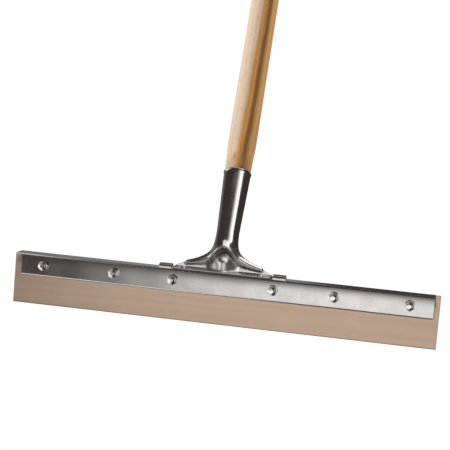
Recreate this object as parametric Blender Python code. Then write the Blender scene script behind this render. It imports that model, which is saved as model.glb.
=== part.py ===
"""Straight floor squeegee with a steel angle frame, a rubber blade and a long wooden handle.

The blade runs along X.  The clamping nuts and the frame's flange are on the -Y side, and the handle leans back
towards +Y.  Z is up.  The origin is the middle of the blade's flat working edge.
Lengths are in millimetres and are turned into metres when a mesh is made.
"""
import math

import bmesh
import bpy
from mathutils import Matrix, Vector

MM = 0.001
GAP = 0.3                     # clearance left between pieces that touch

# ---------------------------------------------------------------- rubber blade
BLADE_LENGTH = 472.0
BLADE_SHIFT = -1.0            # the rubber sits a little off the frame's middle
BLADE_HEIGHT = 58.0
BLADE_THICK = 4.8             # 3/16 in

# ---------------------------------------------------------------- steel frame
FRAME_LENGTH = 457.2          # 18 in
FRAME_SHEET = 1.6
FRAME_TOP = 59.6              # top of the flange above the blade's edge
LEG_BOTTOM = 32.8
FLANGE_DEPTH = 22.0           # back of the leg to the front edge of the flange
BEND_INSIDE = 1.0
EDGE_ROUND = 0.35
STRIP_BOTTOM = 33.5
STRIP_TOP = 57.0

LEG_BACK = -BLADE_THICK / 2 - GAP
LEG_FRONT = LEG_BACK - FRAME_SHEET
FLANGE_FRONT = LEG_BACK - FLANGE_DEPTH
STRIP_FRONT = BLADE_THICK / 2 + GAP
STRIP_BACK = STRIP_FRONT + FRAME_SHEET

# ---------------------------------------------------------------- clamping bolts, M6
BOLT_X = (-203.0, -122.2, -55.6, 55.6, 122.2, 203.0)
BOLT_Z = 44.7
BOLT_R = 2.9
HOLE_R = BOLT_R + GAP
HEX_FLATS = 10.0
NUT_HEX = 4.2                 # thickness of a nut's hexagonal part
COLLAR_R = 4.4                # round locking collar on top of it
COLLAR_RISE = 2.0
HEAD_THICK = 4.0
HEX_CHAMFER = 0.5
WASHER_R = 6.5
WASHER_THICK = 1.3
BOLT_TIP = 1.2                # how far a bolt stands out of its nut
HEX_SIDE_STEPS = 4            # points along one side of a hexagon, and so 24 round a bolt
NUT_TURNS = (12.0, 41.0, 25.0, 3.0, 52.0, 33.0)    # each nut stops at its own angle, degrees

# ---------------------------------------------------------------- socket
LEAN = math.radians(27.5)     # handle's lean back from upright
SOCKET_SHEET = 1.2
FOOT_Z = FRAME_TOP + GAP      # underside of the foot
WEB_Y = -5.4                  # where the web meets the foot
AXIS_RISE = 9.4               # handle's axis in front of the web's plane
RIM_V = 114.0                 # rim, measured up the slope from the foot
WAIST_V = 27.0
WAIST_R = 11.9                # outer radius where the tube is slimmest
RIM_R = 15.2
FOOT_HALF = 54.0
FOOT_FRONT = -24.0
FOOT_CORNER = 12.55           # how fast the foot's sides draw in, up the slope
FOOT_POWER = 1.75
WEB_FILLET = 3.0
OPENING_START = 22.0          # above this the web is gone and only the tube is left
OPENING_SIDES = 34.0          # here the sheet's edges stand at the tube's sides
OPENING_END = 62.0            # above this the edges meet in a seam down the back
SEAM_HALF = 0.9
BEAD_INSET = 3.1
BEAD_HALF = 3.0
BEAD_RISE = 3.4
BEAD_TIP_V = 6.2
BEAD_END_V = 19.5
BOSS_RISE = 3.1
BOSS_V = 9.5
BOSS_SPREAD = 4.6
CREASE_DEPTH = 3.6
CREASE_V = 18.3
CREASE_SPREAD = 2.4
BOSS_EXTRA_R = 0.7

# ---------------------------------------------------------------- loops and tongues
LOOP_X = 62.5                 # middle of each loop
LOOP_WIDTH = 14.0
LOOP_RISE = 3.9               # top of the loop above the flange
LOOP_FRONT = -15.6
LOOP_BACK = -6.6
TONGUE_END = 70.5
TONGUE_FRONT = -13.1
TONGUE_BACK = -9.1

# ---------------------------------------------------------------- rivets and screw
RIVET_X = 42.3
RIVET_Y = -15.6
RIVET_R = 1.9
RIVET_HEAD_R = 3.0
RIVET_HEAD = 1.4
SCREW_V = 96.0
SCREW_TURN = math.radians(140.0)     # round the tube from its front
SCREW_R = 1.7
SCREW_HEAD_R = 3.6
SCREW_HEAD = 1.9
SCREW_LENGTH = 13.0

# ---------------------------------------------------------------- handle
HANDLE_LENGTH = 1372.0        # 54 in
HANDLE_START = 45.0
HANDLE_R = 16.0               # 1 1/4 in
HANDLE_SHOULDER_R = 14.6      # just above the rim
HANDLE_SIDES = 32


# ================================================================ helpers
def clear_scene():
    for old in list(bpy.data.objects):
        bpy.data.objects.remove(old, do_unlink=True)


def make_material(name, colour, roughness, metallic):
    mat = bpy.data.materials.new(name)
    mat.use_nodes = True
    shader = mat.node_tree.nodes["Principled BSDF"]
    shader.inputs["Base Color"].default_value = (*colour, 1.0)
    shader.inputs["Roughness"].default_value = roughness
    shader.inputs["Metallic"].default_value = metallic
    return mat


def add_object(name, bm, mat=None, smooth_degrees=35.0):
    """Scale a millimetre bmesh to metres and put it in the scene as a new object."""
    bmesh.ops.scale(bm, vec=(MM, MM, MM), verts=bm.verts)
    bmesh.ops.recalc_face_normals(bm, faces=bm.faces)
    mesh = bpy.data.meshes.new(name)
    bm.to_mesh(mesh)
    bm.free()
    mesh.shade_smooth()
    mesh.set_sharp_from_angle(angle=math.radians(smooth_degrees))
    obj = bpy.data.objects.new(name, mesh)
    bpy.context.scene.collection.objects.link(obj)
    if mat:
        mesh.materials.append(mat)
    return obj


def as_cutter(obj):
    obj.hide_render = True
    obj.display_type = "WIRE"
    return obj


def add_boolean(obj, other, operation):
    modifier = obj.modifiers.new(operation.title(), "BOOLEAN")
    modifier.operation = operation
    modifier.solver = "EXACT"
    modifier.object = as_cutter(other)


def add_box(bm, low, high):
    centre = (Vector(low) + Vector(high)) / 2
    size = Vector(high) - Vector(low)
    bmesh.ops.create_cube(bm, size=1.0, matrix=Matrix.Translation(centre) @ Matrix.Diagonal((*size, 1.0)))


def add_profile(bm, outline, x_start, x_end):
    """Extrude a closed outline of (y, z) points along X."""
    ends = [[bm.verts.new((x, y, z)) for y, z in outline] for x in (x_start, x_end)]
    bm.faces.new(ends[0])
    bm.faces.new(reversed(ends[1]))
    for i in range(len(outline)):
        j = (i + 1) % len(outline)
        bm.faces.new((ends[0][i], ends[1][i], ends[1][j], ends[0][j]))


def arc(centre, radius, start, end, steps):
    """Points on an arc in the (y, z) plane; angles in degrees from +Y towards +Z."""
    angles = [math.radians(start + (end - start) * i / steps) for i in range(steps + 1)]
    return [(centre[0] + radius * math.cos(a), centre[1] + radius * math.sin(a)) for a in angles]


def hexagon_reach(angle, flats, side_limit):
    """Distance from a hexagon's centre to its side, cut off at side_limit where its corners are turned down."""
    step = math.radians(60.0)
    off_flat = (angle % step) - step / 2
    return min(flats / 2 / math.cos(off_flat), side_limit)


def add_turned(bm, rings, frame, sides, closed=False, turn=0.0):
    """Skin a stack of rings: (height, radius) or (height, radius, flats) for a hexagonal one.

    With closed the last ring joins the first, which makes a tube; without it the two ends are capped.
    """
    loops = []
    for ring in rings:
        loop = []
        for i in range(sides):
            angle = 2 * math.pi * i / sides
            reach = hexagon_reach(angle, ring[2], ring[1]) if len(ring) == 3 else ring[1]
            spot = Vector((reach * math.cos(angle + turn), reach * math.sin(angle + turn), ring[0]))
            loop.append(bm.verts.new(frame @ spot))
        loops.append(loop)
    pairs = list(zip(loops, loops[1:]))
    if closed:
        pairs.append((loops[-1], loops[0]))
    else:
        bm.faces.new(loops[0])
        bm.faces.new(loops[-1])
    for low, high in pairs:
        for i in range(sides):
            j = (i + 1) % sides
            bm.faces.new((low[i], low[j], high[j], high[i]))


def along_y(x, y, z):
    """A frame whose local +Z points along -Y, towards the nuts, with its zero at (x, y, z)."""
    return Matrix.Translation((x, y, z)) @ Matrix.Rotation(math.radians(90.0), 4, "X")


def slope_point(u, v, h):
    """A point in the socket's own directions: u across, v up the slope, h forward of the web."""
    y = WEB_Y + v * math.sin(LEAN) - h * math.cos(LEAN)
    z = FOOT_Z + v * math.cos(LEAN) + h * math.sin(LEAN)
    return Vector((u, y, z))


def axis_frame(v):
    """A frame on the handle's axis at v, with local +Z up the handle."""
    return Matrix.Translation(slope_point(0.0, v, AXIS_RISE)) @ Matrix.Rotation(-LEAN, 4, "X")


def bolt_hole_cutter(name):
    bm = bmesh.new()
    for x in BOLT_X:
        add_turned(bm, [(-20.0, HOLE_R), (20.0, HOLE_R)], along_y(x, 0.0, BOLT_Z), 6 * HEX_SIDE_STEPS)
    return add_object(name, bm)


# ================================================================ blade and frame
def make_rubber_blade(mat):
    bm = bmesh.new()
    low = (BLADE_SHIFT - BLADE_LENGTH / 2, -BLADE_THICK / 2, 0.0)
    high = (BLADE_SHIFT + BLADE_LENGTH / 2, BLADE_THICK / 2, BLADE_HEIGHT)
    add_box(bm, low, high)
    blade = add_object("rubber_blade", bm, mat)
    add_boolean(blade, bolt_hole_cutter("blade_holes"), "DIFFERENCE")


def angle_outline():
    """The frame's section: leg bottom, inside bend, flange edge, outside bend."""
    underside = FRAME_TOP - FRAME_SHEET
    inner = (LEG_FRONT - BEND_INSIDE, underside - BEND_INSIDE)
    points = arc((LEG_BACK - EDGE_ROUND, LEG_BOTTOM + EDGE_ROUND), EDGE_ROUND, 0, -90, 3)
    points += arc((LEG_FRONT + EDGE_ROUND, LEG_BOTTOM + EDGE_ROUND), EDGE_ROUND, -90, -180, 3)
    points += arc(inner, BEND_INSIDE, 0, 90, 5)
    points += arc((FLANGE_FRONT + EDGE_ROUND, underside + EDGE_ROUND), EDGE_ROUND, -90, -180, 3)
    points += arc((FLANGE_FRONT + EDGE_ROUND, FRAME_TOP - EDGE_ROUND), EDGE_ROUND, 180, 90, 3)
    points += arc(inner, BEND_INSIDE + FRAME_SHEET, 90, 0, 7)
    return points


def loop_outline():
    """A raised strap's section, with both ends sunk into the flange's sheet."""
    top = FRAME_TOP + LOOP_RISE
    sunk = FRAME_TOP - 0.6
    outer = [(LOOP_FRONT - 1.0, sunk), (LOOP_FRONT + 0.6, top - 0.7), (LOOP_FRONT + 1.2, top)]
    outer += [(LOOP_BACK - 1.2, top), (LOOP_BACK - 0.6, top - 0.7), (LOOP_BACK + 1.0, sunk)]
    inner = [(LOOP_BACK - 0.8, sunk - 0.4), (LOOP_BACK - 1.8, top - FRAME_SHEET)]
    inner += [(LOOP_FRONT + 1.8, top - FRAME_SHEET), (LOOP_FRONT + 0.8, sunk - 0.4)]
    return outer + inner


def make_frame_angle(mat):
    bm = bmesh.new()
    add_profile(bm, angle_outline(), -FRAME_LENGTH / 2, FRAME_LENGTH / 2)
    angle = add_object("frame_angle", bm, mat)
    add_boolean(angle, bolt_hole_cutter("leg_holes"), "DIFFERENCE")
    slots = bmesh.new()
    straps = bmesh.new()
    for middle in (-LOOP_X, LOOP_X):
        half = LOOP_WIDTH / 2
        low = (middle - half - GAP, LOOP_FRONT + 0.5, FRAME_TOP - 2 * FRAME_SHEET)
        high = (middle + half + GAP, LOOP_BACK - 0.5, FRAME_TOP + FRAME_SHEET)
        add_box(slots, low, high)
        add_profile(straps, loop_outline(), middle - half, middle + half)
    for side in (-1, 1):
        frame = Matrix.Translation((side * RIVET_X, RIVET_Y, FRAME_TOP))
        add_turned(slots, [(-5.0, RIVET_R + GAP), (5.0, RIVET_R + GAP)], frame, 16)
    add_boolean(angle, add_object("flange_slots", slots), "DIFFERENCE")
    add_boolean(angle, add_object("flange_straps", straps), "UNION")


def make_backing_strip(mat):
    bm = bmesh.new()
    rounds = EDGE_ROUND
    outline = arc((STRIP_BACK - rounds, STRIP_BOTTOM + rounds), rounds, 0, -90, 3)
    outline += arc((STRIP_FRONT + rounds, STRIP_BOTTOM + rounds), rounds, -90, -180, 3)
    outline += arc((STRIP_FRONT + rounds, STRIP_TOP - rounds), rounds, 180, 90, 3)
    outline += arc((STRIP_BACK - rounds, STRIP_TOP - rounds), rounds, 90, 0, 3)
    add_profile(bm, outline, -FRAME_LENGTH / 2, FRAME_LENGTH / 2)
    strip = add_object("backing_strip", bm, mat)
    add_boolean(strip, bolt_hole_cutter("strip_holes"), "DIFFERENCE")


# ================================================================ clamping bolts
def make_bolt(number, x, mat):
    """A hex bolt from behind: head, then shank through to just past its nut."""
    start = -(STRIP_BACK + GAP + WASHER_THICK + GAP)      # underside of the head, measured towards the nuts
    tip = -LEG_FRONT + GAP + NUT_HEX + COLLAR_RISE + BOLT_TIP
    corner = HEX_FLATS / 2 / math.cos(math.radians(30.0))
    rings = [(start - HEAD_THICK, corner - 1.3, HEX_FLATS - 1.6)]
    rings += [(start - HEAD_THICK + HEX_CHAMFER, corner, HEX_FLATS), (start, corner, HEX_FLATS)]
    rings += [(start, BOLT_R), (tip - 0.8, BOLT_R), (tip - 0.2, BOLT_R - 0.7), (tip, BOLT_R - 1.6)]
    bm = bmesh.new()
    add_turned(bm, rings, along_y(x, 0.0, BOLT_Z), 6 * HEX_SIDE_STEPS)
    add_object(f"clamp_bolt_{number}", bm, mat)


def make_washer(number, x, mat):
    near = -(STRIP_BACK + GAP)
    far = near - WASHER_THICK
    rings = [(near, HOLE_R), (near, WASHER_R), (far, WASHER_R), (far, HOLE_R)]
    bm = bmesh.new()
    add_turned(bm, rings, along_y(x, 0.0, BOLT_Z), 6 * HEX_SIDE_STEPS, closed=True)
    add_object(f"clamp_washer_{number}", bm, mat)


def make_nut(number, x, turn, mat):
    """A lock nut: a hexagon with a round collar in front."""
    base = -LEG_FRONT + GAP
    shoulder = base + NUT_HEX
    top = shoulder + COLLAR_RISE
    corner = HEX_FLATS / 2 / math.cos(math.radians(30.0))
    rings = [(base, HOLE_R), (base, corner - 0.8, HEX_FLATS), (base + HEX_CHAMFER, corner, HEX_FLATS)]
    rings += [(shoulder - HEX_CHAMFER, corner, HEX_FLATS), (shoulder, corner - 0.8, HEX_FLATS - 0.2)]
    rings += [(shoulder, COLLAR_R), (top - 0.9, COLLAR_R - 0.1), (top - 0.2, COLLAR_R - 0.6)]
    rings += [(top, COLLAR_R - 1.0), (top - 0.3, HOLE_R)]
    bm = bmesh.new()
    frame = along_y(x, 0.0, BOLT_Z)
    add_turned(bm, rings, frame, 6 * HEX_SIDE_STEPS, closed=True, turn=math.radians(turn))
    add_object(f"clamp_nut_{number}", bm, mat)


# ================================================================ socket
def smoothstep(low, high, value):
    t = min(max((value - low) / (high - low), 0.0), 1.0)
    return t * t * (3 - 2 * t)


def hump(distance, spread):
    return math.exp(-(distance / spread) ** 2)


def tube_radius(v):
    """Outer radius of the tube up the slope."""
    if v <= WAIST_V:
        return WAIST_R
    return WAIST_R + (RIM_R - WAIST_R) * (v - WAIST_V) / (RIM_V - WAIST_V)


def foot_half_width(v):
    """Half the foot's width: it draws in from the base's ends to the tube."""
    return WAIST_R + (FOOT_HALF - WAIST_R) * math.exp(-(max(v, 0.0) / FOOT_CORNER) ** FOOT_POWER)


def front_height(v):
    """How far the middle of the front stands out of the web's plane, at the middle of the sheet."""
    tube = AXIS_RISE + WAIST_R - SOCKET_SHEET / 2
    boss = tube + BOSS_RISE * hump(v - BOSS_V, BOSS_SPREAD)
    wall = tube + 0.6 + v * math.tan(LEAN)
    crease = CREASE_DEPTH * hump(v - CREASE_V, CREASE_SPREAD)
    return min(boss, wall) - crease


def section_shape(v):
    """The round part's radius, its centre's height, and where its side turns out into the web."""
    radius = tube_radius(v) - SOCKET_SHEET / 2 + BOSS_EXTRA_R * smoothstep(CREASE_V, CREASE_V - 10.0, v)
    centre = AXIS_RISE if v > WAIST_V else front_height(v) - radius
    reach = radius + WEB_FILLET
    drop = centre - WEB_FILLET
    out = math.sqrt(max(reach * reach - drop * drop, 0.0))
    return radius, centre, math.atan2(out, -drop), out


def bead_height(u, v):
    """The rounded bead just inside each of the foot's sloping edges."""
    step = 0.5
    slant = (foot_half_width(v + step) - foot_half_width(v - step)) / (2 * step)
    from_bead = (foot_half_width(v) - abs(u)) / math.hypot(1.0, slant) - BEAD_INSET
    across = max(0.0, 1.0 - (from_bead / BEAD_HALF) ** 2)
    ends = smoothstep(BEAD_TIP_V - 2.0, BEAD_TIP_V + 1.5, v) * smoothstep(BEAD_END_V, BEAD_END_V - 7.5, v)
    return BEAD_RISE * across * ends


def half_section(v, points):
    """Points (u, h) from the front's middle round to the sheet's edge, evenly spaced along the sheet."""
    radius, centre, turn, out = section_shape(v)
    web = max(foot_half_width(v) - out, 0.0)
    fillet = WEB_FILLET * turn * smoothstep(OPENING_SIDES, OPENING_START, v)
    if v > OPENING_SIDES:
        closed = math.pi - SEAM_HALF / radius
        turn += (closed - turn) * smoothstep(OPENING_SIDES, OPENING_END, v)
    total = radius * turn + fillet + web
    spots = []
    for i in range(points + 1):
        s = total * i / points
        round_part = min(s, radius * turn)
        a = round_part / radius
        u = radius * math.sin(a)
        h = centre + radius * math.cos(a)
        if s > radius * turn:
            b = min(s - radius * turn, WEB_FILLET * turn) / WEB_FILLET
            u += WEB_FILLET * (math.sin(turn) - math.sin(turn - b))
            h += WEB_FILLET * (math.cos(turn) - math.cos(turn - b))
            u += max(s - radius * turn - WEB_FILLET * turn, 0.0)
            h += bead_height(u, v)
        spots.append((u, h))
    return spots


def add_sheet(bm, rows, columns):
    """The socket's sheet at the middle of its thickness, as a grid of rows up the slope."""
    grid = []
    for v in rows:
        half = half_section(v, columns)
        section = [(-u, h) for u, h in reversed(half[1:])] + half
        grid.append([bm.verts.new(slope_point(u, v, h)) for u, h in section])
    for low, high in zip(grid, grid[1:]):
        for i in range(len(low) - 1):
            bm.faces.new((low[i], low[i + 1], high[i + 1], high[i]))


def add_foot_base(bm):
    """The flat base on the flange, with a tongue at each end, as one stepped outline."""
    outline = [(-TONGUE_END, TONGUE_FRONT), (-FOOT_HALF, TONGUE_FRONT), (-FOOT_HALF, FOOT_FRONT)]
    outline += [(FOOT_HALF, FOOT_FRONT), (FOOT_HALF, TONGUE_FRONT), (TONGUE_END, TONGUE_FRONT)]
    outline += [(TONGUE_END, TONGUE_BACK), (FOOT_HALF, TONGUE_BACK), (FOOT_HALF, WEB_Y)]
    outline += [(-FOOT_HALF, WEB_Y), (-FOOT_HALF, TONGUE_BACK), (-TONGUE_END, TONGUE_BACK)]
    levels = [[bm.verts.new((x, y, z)) for x, y in outline] for z in (FOOT_Z, FOOT_Z + SOCKET_SHEET)]
    bm.faces.new(reversed(levels[0]))
    bm.faces.new(levels[1])
    for i in range(len(outline)):
        j = (i + 1) % len(outline)
        bm.faces.new((levels[0][i], levels[0][j], levels[1][j], levels[1][i]))


def screw_frame():
    """On the tube's wall where the handle's screw goes in, local +Z pointing out of the tube."""
    outward = Matrix.Rotation(SCREW_TURN, 4, "Z") @ Matrix.Rotation(math.radians(90.0), 4, "X")
    return axis_frame(SCREW_V) @ outward


def make_socket(mat):
    rows = [-12.0, -9.0, -6.0, -3.0, 0.0, 2.5, 4.5, 6.0, 7.5, 9.0, 11.0, 13.0, 15.0, 16.8, 18.3, 19.8, 22.0]
    rows += [25.0, 28.0, 31.0, 34.0, 38.0, 43.0, 49.0, 56.0, 63.0, 72.0, 82.0, 93.0, 104.0, RIM_V]
    bm = bmesh.new()
    add_sheet(bm, rows, 20)
    socket = add_object("socket", bm, mat)
    shell = socket.modifiers.new("Sheet", "SOLIDIFY")
    shell.thickness = SOCKET_SHEET * MM
    shell.offset = 0.0
    shell.use_even_offset = True
    trimmed = bmesh.new()
    reach = 2 * FOOT_HALF
    add_box(trimmed, (-reach, -reach, FOOT_Z - reach), (reach, reach, FOOT_Z + SOCKET_SHEET / 2))
    near = tube_radius(SCREW_V) - 4.0
    add_turned(trimmed, [(near, SCREW_R + GAP), (near + 8.0, SCREW_R + GAP)], screw_frame(), 16)
    add_boolean(socket, add_object("below_foot", trimmed), "DIFFERENCE")
    base = bmesh.new()
    add_foot_base(base)
    foot_base = add_object("foot_base", base)
    holes = bmesh.new()
    for side in (-1, 1):
        frame = Matrix.Translation((side * RIVET_X, RIVET_Y, FOOT_Z))
        add_turned(holes, [(-4.0, RIVET_R + GAP), (4.0, RIVET_R + GAP)], frame, 16)
    add_boolean(foot_base, add_object("rivet_holes", holes), "DIFFERENCE")
    add_boolean(socket, foot_base, "UNION")


# ================================================================ rivets, screw and handle
def make_rivet(name, x, mat):
    top = SOCKET_SHEET + 2 * GAP
    bottom = -FRAME_SHEET - GAP
    rings = [(bottom - RIVET_HEAD, RIVET_HEAD_R * 0.5), (bottom - RIVET_HEAD * 0.6, RIVET_HEAD_R * 0.9)]
    rings += [(bottom, RIVET_HEAD_R), (bottom, RIVET_R), (top, RIVET_R), (top, RIVET_HEAD_R)]
    rings += [(top + RIVET_HEAD * 0.6, RIVET_HEAD_R * 0.85), (top + RIVET_HEAD, RIVET_HEAD_R * 0.4)]
    bm = bmesh.new()
    add_turned(bm, rings, Matrix.Translation((x, RIVET_Y, FRAME_TOP)), 16)
    add_object(name, bm, mat)


def make_handle_screw(mat):
    wall = tube_radius(SCREW_V) + GAP
    rings = [(wall - SCREW_LENGTH, SCREW_R * 0.3), (wall - SCREW_LENGTH + 3.0, SCREW_R), (wall, SCREW_R)]
    rings += [(wall, SCREW_HEAD_R), (wall + SCREW_HEAD * 0.55, SCREW_HEAD_R * 0.92)]
    rings += [(wall + SCREW_HEAD, SCREW_HEAD_R * 0.5)]
    bm = bmesh.new()
    add_turned(bm, rings, screw_frame(), 16)
    add_object("handle_screw", bm, mat)


def make_handle(mat):
    """Turned from one piece of wood: a taper inside the socket, a shoulder above the rim, a domed top."""
    inside = SOCKET_SHEET + 2 * GAP
    levels = [(v, tube_radius(v) - inside) for v in (HANDLE_START + 2.0, 60.0, 78.0, 96.0, RIM_V)]
    rings = [(HANDLE_START, levels[0][1] - 1.5)] + levels
    rings += [(RIM_V + 5.0, HANDLE_SHOULDER_R), (RIM_V + 13.0, HANDLE_SHOULDER_R + 0.4)]
    rings += [(RIM_V + 28.0, HANDLE_R - 0.4), (RIM_V + 44.0, HANDLE_R), (RIM_V + 400.0, HANDLE_R)]
    top = HANDLE_START + HANDLE_LENGTH
    dome = 9.0
    for i in range(6):
        a = math.radians(15.0 * i)
        rings.append((top - dome + dome * math.sin(a), HANDLE_R * math.cos(a) ** 0.7))
    rings = [(v - SCREW_V, radius) for v, radius in rings]
    bm = bmesh.new()
    add_turned(bm, rings, axis_frame(SCREW_V), HANDLE_SIDES)
    handle = add_object("handle", bm, mat)
    pilot = bmesh.new()
    outer = tube_radius(SCREW_V) + GAP
    depth = outer - SCREW_LENGTH - 1.0
    add_turned(pilot, [(depth, SCREW_R + GAP), (outer, SCREW_R + GAP)], screw_frame(), 16)
    add_boolean(handle, add_object("pilot_hole", pilot), "DIFFERENCE")


def main():
    clear_scene()
    frame_steel = make_material("frame_steel", (0.56, 0.55, 0.54), 0.32, 1.0)
    socket_steel = make_material("socket_steel", (0.60, 0.59, 0.59), 0.2, 1.0)
    fastener_steel = make_material("fastener_steel", (0.66, 0.65, 0.62), 0.28, 1.0)
    rubber = make_material("gum_rubber", (0.42, 0.29, 0.19), 0.6, 0.0)
    wood = make_material("handle_wood", (0.55, 0.33, 0.15), 0.4, 0.0)
    make_rubber_blade(rubber)
    make_frame_angle(frame_steel)
    make_backing_strip(frame_steel)
    for number, (x, turn) in enumerate(zip(BOLT_X, NUT_TURNS), start=1):
        make_bolt(number, x, fastener_steel)
        make_washer(number, x, fastener_steel)
        make_nut(number, x, turn, fastener_steel)
    make_socket(socket_steel)
    make_rivet("foot_rivet_left", -RIVET_X, fastener_steel)
    make_rivet("foot_rivet_right", RIVET_X, fastener_steel)
    make_handle_screw(fastener_steel)
    make_handle(wood)


main()
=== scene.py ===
"""Looks of a straight floor squeegee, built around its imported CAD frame.

Shapes are in millimetres until a mesh is made; materials, lights and the camera are in metres.  Everything
is in the frame's own directions: X along the blade, -Y towards the nuts, Z up, with zero at the middle of the
blade's working edge.
"""

import math

import bmesh
import bpy
import numpy as np
from mathutils import Matrix, Vector


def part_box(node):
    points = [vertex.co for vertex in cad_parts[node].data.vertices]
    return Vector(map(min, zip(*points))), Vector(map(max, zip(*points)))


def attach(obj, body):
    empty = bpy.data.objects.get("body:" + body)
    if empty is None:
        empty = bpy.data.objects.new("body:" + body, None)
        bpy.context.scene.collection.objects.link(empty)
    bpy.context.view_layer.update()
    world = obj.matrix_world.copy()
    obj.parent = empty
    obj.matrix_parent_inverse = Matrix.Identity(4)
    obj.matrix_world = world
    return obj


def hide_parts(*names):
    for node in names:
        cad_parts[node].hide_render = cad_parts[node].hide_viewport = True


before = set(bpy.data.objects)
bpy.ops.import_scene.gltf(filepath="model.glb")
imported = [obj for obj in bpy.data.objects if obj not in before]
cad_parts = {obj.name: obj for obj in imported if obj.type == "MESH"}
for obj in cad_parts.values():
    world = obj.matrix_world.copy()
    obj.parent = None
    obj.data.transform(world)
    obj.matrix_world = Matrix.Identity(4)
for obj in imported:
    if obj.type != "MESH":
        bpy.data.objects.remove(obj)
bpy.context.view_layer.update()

MM = 0.001
CLAMPS = range(1, 7)
GAP = 0.3  # clearance between pieces that touch on the real tool


def box_mm(node):
    """Low and high corners of a CAD node's box."""
    low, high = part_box(node)
    return low / MM, high / MM


BLADE_LOW, BLADE_HIGH = box_mm("rubber_blade")
ANGLE_LOW, ANGLE_HIGH = box_mm("frame_angle")
SOCKET_LOW, SOCKET_HIGH = box_mm("socket")
STRIP_LOW, STRIP_HIGH = box_mm("backing_strip")

# -------- socket, in its own directions
# u is across, v up the slope and h forward of a plane through the web's foot that slopes as the tube does.
LEAN = math.radians(27.5)
SHEET = 1.2
FOOT_Z = SOCKET_LOW.z
WEB_Y = -5.4
AXIS_RISE = 9.4
RIM_V = 114.0
WAIST_V = 27.0
WAIST_R = 11.9
RIM_R = 15.2
RIM_FLARE = 0.8
RIM_FLARE_LENGTH = 4.0
RIM_ROUND = 0.4
FOOT_HALF = 54.0
FOOT_NARROW = 10.4  # half the web's width where it runs into the tube
FOOT_CORNER = 12.9
FOOT_POWER = 1.85
FOOT_ROUND = 0.2
ARCH_TOP = 20.6  # the arch under the tube's front: its height at the middle and at the far ends
ARCH_END = 4.2
ARCH_SPREAD = 16.8
ARCH_ROUND = 0.8
ARCH_FLARE = 1.3  # how much the tube swells at the arch, and how far from it
ARCH_REACH = 5.0
# Ridges from the tube's sides to the foot's corners: the curve's control points (u, v, h) and its end radii
RIDGE_CURVE = ((2.0, 36.0, 9.0), (9.0, 14.2, 8.0), (18.0, 11.4, 2.0), (40.4, 6.4, 0.7))
RIDGE_RADII = (6.6, 2.0)
RIDGE_STEPS = 14
RIDGE_FILLET = 6.0
WEB_TILT = 0.09  # the web leans back this many radians more than the tube
WEB_FILLET = 1.6
BELL_HALF = 13.0  # the bell-shaped bulge under the arch
BELL_SHOULDER = 11.5
BELL_FRONT = -12.5
DOME_R = 6.2  # the small boss on the bell
DOME_Y = -9.4
DOME_RISE = 9.8  # centre of the dome's round top above the foot
DOME_FILLET = 2.5
SLOT_START = 24.0  # the gap in the tube's back: wide at its start, a narrow seam from its end
SLOT_END = 62.0
SLOT_HALF = 7.9
SEAM_HALF = 0.5
CUT_ROUND = 0.3
BASE_FRONT = ANGLE_LOW.y + 0.7
BASE_FILLET = 1.2
TONGUE_FRONT = -13.1
TONGUE_BACK = -9.1
TONGUE_FILLET = 1.0
RIVET_X = 42.3
RIVET_Y = -15.6
RIVET_HOLE = 2.2
NET_CELL = 0.62
NET_MARGIN = 1.5
NET_LOW_V = -12.0
NET_LOW_H = -8.0

# -------- frame angle
FRAME_SHEET = 1.6
FRAME_TOP = FOOT_Z - GAP
LEG_BACK = ANGLE_HIGH.y
LEG_FRONT = LEG_BACK - FRAME_SHEET
LIP_TALL = 0.75  # the bevel along the leg's lower edge
LIP_DEEP = 0.56
LEG_ROLL = 1.3  # how far the leg's top curves forward, from ROLL_START above its lower edge
ROLL_START = 7.0
ROLL_STEP = 1.5
BEND_INSIDE = 1.0
LOOP_X = 62.5
LOOP_HALF = 7.0
LOOP_TOP = ANGLE_HIGH.z
LOOP_FRONT = -15.6
LOOP_BACK = -6.6
LOOP_SUNK = 0.9  # the loop's feet go this far into the flange
LOOP_WALL = 0.6  # the slot under the loop stays this far from its ends
FRAME_SLICES = 150
FRAME_WAVE = 0.06
BLADE_WAVE = 0.05
BLADE_END_ROUND = 1.1
CORNER_REACH = 12.0  # the left end's top corner, cut slightly low
CORNER_DROP = 2.6
DRILL_PAST = 2.0  # cutting tools go this far past the sheet

# -------- bolts, nuts and washers, M6
BOLT_R = 2.9
HOLE_R = BOLT_R + GAP
PITCH = 1.0
THREAD_DEPTH = 0.32
HEX_FLATS = 10.0
HEX_TURNED_DOWN = 0.95  # how much of a hexagon's corners its chamfer takes
COLLAR_R = 4.3
COLLAR_HEIGHT = 2.0
COLLAR_BORE = 2.75
NUT_SEAT_R = 4.4
NUT_TURNS = (12.0, 41.0, 25.0, 3.0, 52.0, 33.0)
NUT_TILTS = (0.5, -0.75, 2.75, 0.0, 0.25, -0.25)  # degrees; the third nut has gone on crooked
TURNED_SIDES = 72

# -------- screw and rivets
SCREW_V = 96.0
SCREW_TURN = math.radians(140.0)
SCREW_R = 1.7
SCREW_HEAD_R = 3.6
SCREW_HEAD = 1.9
SCREW_LENGTH = 13.0
SCREW_POINT = 4.0
SCREW_SLOT_HALF = 0.45
RIVET_R = 1.9
RIVET_HEAD_R = 3.0
RIVET_HEAD = 1.4

# -------- handle
HANDLE_LENGTH = 1372.0
HANDLE_START = 45.0
HANDLE_TOP = HANDLE_START + HANDLE_LENGTH
HANDLE_R = 16.0
HANDLE_CHAMFER = (2.0, 1.5)  # at its lower end: how long and how deep
HANDLE_SIDES = 96
SHOULDER_R = 14.6
SHOULDER_V = RIM_V + 5.0
SWELL_LENGTH = 34.0
TOP_DOME = 9.0


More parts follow.
